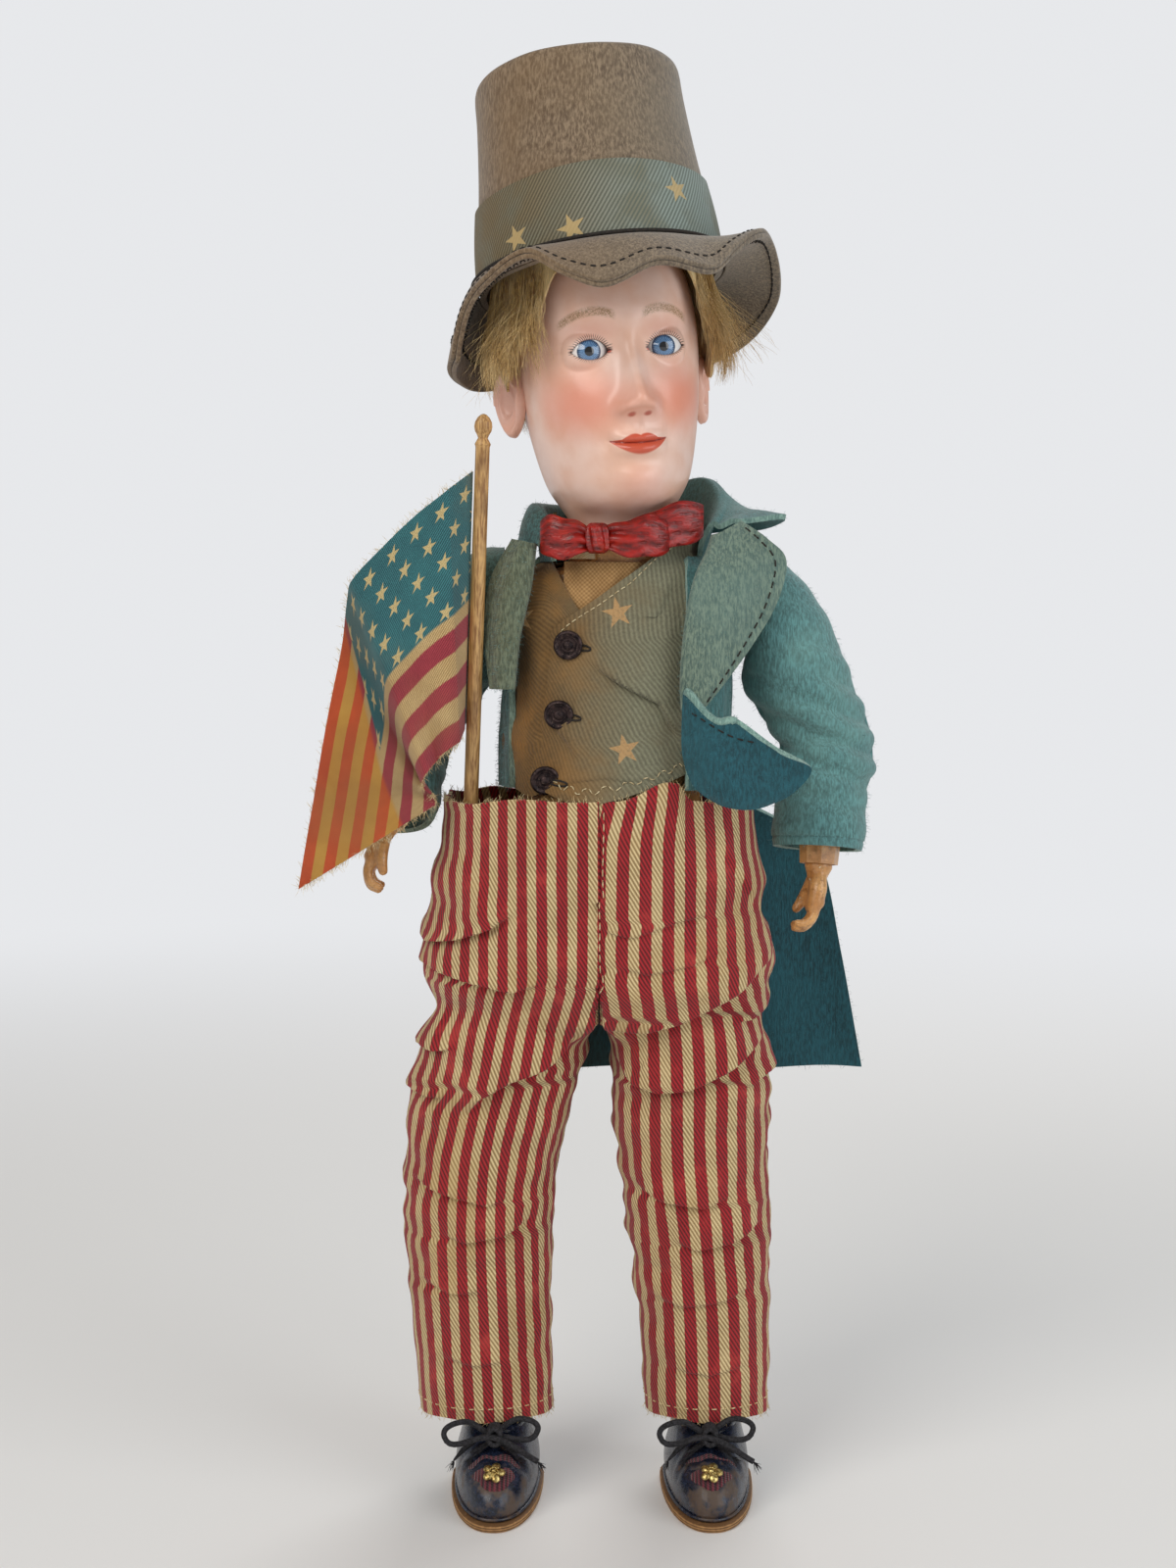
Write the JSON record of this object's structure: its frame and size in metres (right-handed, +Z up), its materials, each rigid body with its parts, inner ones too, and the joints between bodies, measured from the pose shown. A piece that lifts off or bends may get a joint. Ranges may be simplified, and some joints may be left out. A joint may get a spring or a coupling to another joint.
{
  "type": "dressed bisque character doll",
  "caption": "Dressed bisque doll with a strung composition body, mohair wig, felt top hat and tailcoat, starred waistcoat, striped trousers, shoes and a small flag.",
  "frame": {"origin": "on the floor under the middle of the object's bounding box, between the two shoes", "axes": "+Z up from the floor, -Y the way the doll faces, +X towards the doll's own left"},
  "size_m": [0.1595, 0.0981, 0.4009],
  "materials": {
    "bisque": "satin fired bisque porcelain",
    "eye_glass": "glossy",
    "composition": "painted composition of sawdust and glue, worn gloss",
    "turned_wood": "matte",
    "iron_wire": "drawn wire",
    "elastic_cord": "thread-covered",
    "plaster": "matte plaster",
    "mohair": "hair",
    "hat_felt": "brushed felt",
    "hat_ribbon": "faded twill",
    "coat_felt": "thick felt",
    "shirting": "cotton",
    "red_silk": "silk",
    "waistcoat_twill": "twill",
    "button_metal": "dark lacquer",
    "trouser_twill": "striped twill",
    "shoe_leather": "polished",
    "sole_leather": "plain",
    "sock_knit": "ribbed knit",
    "lace_cord": "cord",
    "gilt_metal": "gilt",
    "flag_cotton": "printed cotton"
  },
  "bodies": {
    "torso": {"torso": "composition", "leg_elastic": "elastic_cord", "arm_elastic": "elastic_cord", "shirt_front": "shirting", "shirt_collar": "shirting", "bow_tie": "red_silk", "waistcoat": "waistcoat_twill", "waistcoat_button_1": "button_metal", "waistcoat_button_2": "button_metal", "waistcoat_button_3": "button_metal", "coat_back": "coat_felt", "coat_front_left": "coat_felt", "coat_front_right": "coat_felt", "coat_collar": "coat_felt", "trousers": "trouser_twill"},
    "head": {"bisque_head": "bisque", "head_pate": "plaster", "eye_left": "eye_glass", "eye_right": "eye_glass", "eye_setting": "plaster", "neck_button": "turned_wood", "neck_hook": "iron_wire", "mohair_wig": "mohair"},
    "hat": {"hat_crown": "hat_felt", "hat_brim": "hat_felt", "hat_band": "hat_ribbon"},
    "upper_arm_left": {"upper_arm_left": "composition", "elbow_ball_left": "turned_wood", "coat_sleeve_left": "coat_felt"},
    "forearm_left": {"forearm_left": "composition"},
    "hand_left": {"hand_left": "composition", "wrist_hook_left": "iron_wire"},
    "upper_arm_right": {"upper_arm_right": "composition", "elbow_ball_right": "turned_wood", "coat_sleeve_right": "coat_felt"},
    "forearm_right": {"forearm_right": "composition"},
    "hand_right": {"hand_right": "composition", "wrist_hook_right": "iron_wire"},
    "thigh_left": {"thigh_left": "composition", "knee_ball_left": "turned_wood"},
    "shin_left": {"shin_left": "composition", "leg_hook_left": "iron_wire", "sock_left": "sock_knit", "shoe_upper_left": "shoe_leather", "shoe_sole_left": "sole_leather", "shoe_lace_left": "lace_cord", "shoe_rosette_left": "gilt_metal"},
    "thigh_right": {"thigh_right": "composition", "knee_ball_right": "turned_wood"},
    "shin_right": {"shin_right": "composition", "leg_hook_right": "iron_wire", "sock_right": "sock_knit", "shoe_upper_right": "shoe_leather", "shoe_sole_right": "sole_leather", "shoe_lace_right": "lace_cord", "shoe_rosette_right": "gilt_metal"},
    "flag": {"flag_stick": "turned_wood", "flag_cloth": "flag_cotton"}
  },
  "joints": [
    {"name": "head_turn", "type": "hinge", "parent": "torso", "child": "head", "pos_m": [0.00597, 0, 0.266], "axis": [-0.0849, -0.0196, 0.9962], "range_deg": [-45, 45], "deforming": ["leg_elastic"]},
    {"name": "hat_lift", "type": "slide", "parent": "head", "child": "hat", "axis": [-0.1227, 0.1499, 0.9811], "range_m": [0, 0.11]},
    {"name": "shoulder_left", "type": "hinge", "parent": "torso", "child": "upper_arm_left", "pos_m": [0.0424, 0, 0.255], "axis": [-1, 0, 0], "range_deg": [-15, 95], "deforming": ["coat_sleeve_left", "coat_front_left", "arm_elastic"]},
    {"name": "elbow_left", "type": "hinge", "parent": "upper_arm_left", "child": "forearm_left", "pos_m": [0.06237, -0.00137, 0.21582], "axis": [-1, 0, 0], "range_deg": [-8, 78], "deforming": ["coat_sleeve_left", "coat_front_left", "arm_elastic"]},
    {"name": "wrist_left", "type": "hinge", "parent": "forearm_left", "child": "hand_left", "pos_m": [0.05986, -0.0076, 0.18045], "axis": [-0.0698, -0.1732, -0.9824], "range_deg": [-90, 90], "deforming": ["arm_elastic"]},
    {"name": "shoulder_right", "type": "hinge", "parent": "torso", "child": "upper_arm_right", "pos_m": [-0.0316, 0, 0.255], "axis": [-1, 0, 0], "range_deg": [-15, 95], "deforming": ["coat_sleeve_right", "coat_front_right", "flag_cloth", "arm_elastic"]},
    {"name": "elbow_right", "type": "hinge", "parent": "upper_arm_right", "child": "forearm_right", "pos_m": [-0.05492, 0.01337, 0.22016], "axis": [-1, 0, 0], "range_deg": [-60, 25], "deforming": ["coat_sleeve_right", "coat_front_right", "flag_cloth", "arm_elastic"]},
    {"name": "wrist_right", "type": "hinge", "parent": "forearm_right", "child": "hand_right", "pos_m": [-0.05931, -0.00911, 0.1924], "axis": [-0.1219, -0.6246, -0.7714], "range_deg": [-90, 90], "deforming": ["flag_cloth", "arm_elastic"]},
    {"name": "hip_left", "type": "hinge", "parent": "torso", "child": "thigh_left", "pos_m": [0.02, 0, 0.152], "axis": [-1, 0, 0], "range_deg": [-10, 80], "deforming": ["trousers", "leg_elastic"]},
    {"name": "knee_left", "type": "hinge", "parent": "thigh_left", "child": "shin_left", "pos_m": [0.0285, 0, 0.084], "axis": [1, 0, 0], "range_deg": [0, 90], "deforming": ["trousers", "leg_elastic"]},
    {"name": "hip_right", "type": "hinge", "parent": "torso", "child": "thigh_right", "pos_m": [-0.02, 0, 0.152], "axis": [-1, 0, 0], "range_deg": [-10, 80], "deforming": ["trousers", "leg_elastic"]},
    {"name": "knee_right", "type": "hinge", "parent": "thigh_right", "child": "shin_right", "pos_m": [-0.0285, 0, 0.084], "axis": [1, 0, 0], "range_deg": [0, 90], "deforming": ["trousers", "leg_elastic"]},
    {"name": "flag_pull", "type": "slide", "parent": "torso", "child": "flag", "axis": [0.0421, -0.1008, 0.994], "range_m": [0, 0.012]}
  ]
}
